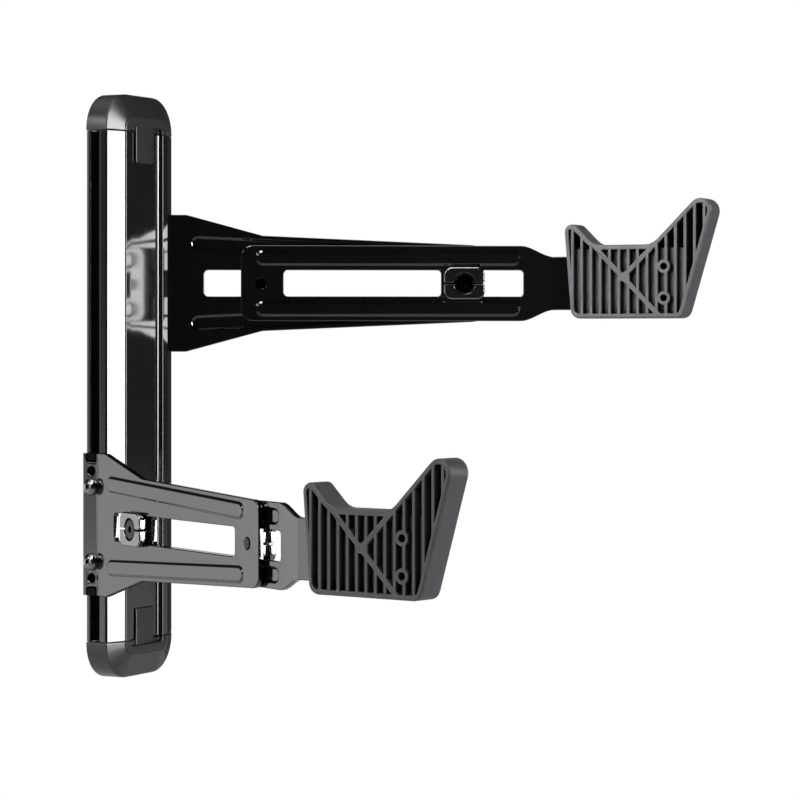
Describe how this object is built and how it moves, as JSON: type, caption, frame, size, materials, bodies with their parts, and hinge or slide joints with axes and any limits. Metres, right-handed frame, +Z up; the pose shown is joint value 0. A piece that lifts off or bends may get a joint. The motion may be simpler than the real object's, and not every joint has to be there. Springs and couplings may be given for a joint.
{
  "type": "horizontal bike wall mount",
  "caption": "Wall rail with T-slot sides and splayed telescoping plate arms that end in ribbed notched cradles for a bicycle's top tube.",
  "frame": {"origin": "middle of the rail's flat back face, on the wall", "axes": "+Z up along the rail, +Y into the wall, the arms reach out towards -Y, +X to the right for someone facing the wall"},
  "size_m": [0.4597, 0.4304, 0.46],
  "materials": {
    "rail_aluminium": "black gloss coated",
    "cap_plastic": "satin black",
    "plate_steel": "black gloss powder coat",
    "bar_steel": "dark zinc",
    "clamp_metal": "black zinc, semi-gloss",
    "screw_steel": "black zinc",
    "cradle_plastic": "matte dark grey"
  },
  "bodies": {
    "wall_frame": {"wall_rail": "rail_aluminium", "top_cap": "cap_plastic", "bottom_cap": "cap_plastic", "upper_wall_screw": "screw_steel", "lower_wall_screw": "screw_steel"},
    "left_bracket": {"left_base_plate": "plate_steel", "left_slot_bar": "bar_steel", "left_upper_bracket_screw": "screw_steel", "left_lower_bracket_screw": "screw_steel", "left_outer_clamp_upper": "clamp_metal", "left_outer_clamp_lower": "clamp_metal", "left_outer_clamp_screw": "screw_steel"},
    "left_reach": {"left_extension_plate": "plate_steel", "left_inner_clamp_upper": "clamp_metal", "left_inner_clamp_lower": "clamp_metal", "left_inner_clamp_screw": "screw_steel", "left_cradle": "cradle_plastic", "left_upper_cradle_screw": "screw_steel", "left_lower_cradle_screw": "screw_steel"},
    "right_bracket": {"right_base_plate": "plate_steel", "right_slot_bar": "bar_steel", "right_upper_bracket_screw": "screw_steel", "right_lower_bracket_screw": "screw_steel", "right_outer_clamp_upper": "clamp_metal", "right_outer_clamp_lower": "clamp_metal", "right_outer_clamp_screw": "screw_steel"},
    "right_reach": {"right_extension_plate": "plate_steel", "right_inner_clamp_upper": "clamp_metal", "right_inner_clamp_lower": "clamp_metal", "right_inner_clamp_screw": "screw_steel", "right_cradle": "cradle_plastic", "right_upper_cradle_screw": "screw_steel", "right_lower_cradle_screw": "screw_steel"}
  },
  "joints": [
    {"name": "left_height", "type": "slide", "parent": "wall_frame", "child": "left_bracket", "axis": [0, 0, 1], "range_m": [-0.036, 0.251]},
    {"name": "left_extension", "type": "slide", "parent": "left_bracket", "child": "left_reach", "axis": [-0.5075, -0.8616, 0], "range_m": [-0.0238, 0.1429]},
    {"name": "right_height", "type": "slide", "parent": "wall_frame", "child": "right_bracket", "axis": [0, 0, 1], "range_m": [-0.2255, 0.061]},
    {"name": "right_extension", "type": "slide", "parent": "right_bracket", "child": "right_reach", "axis": [0.5075, -0.8616, 0], "range_m": [-0.0331, 0.1336]}
  ]
}
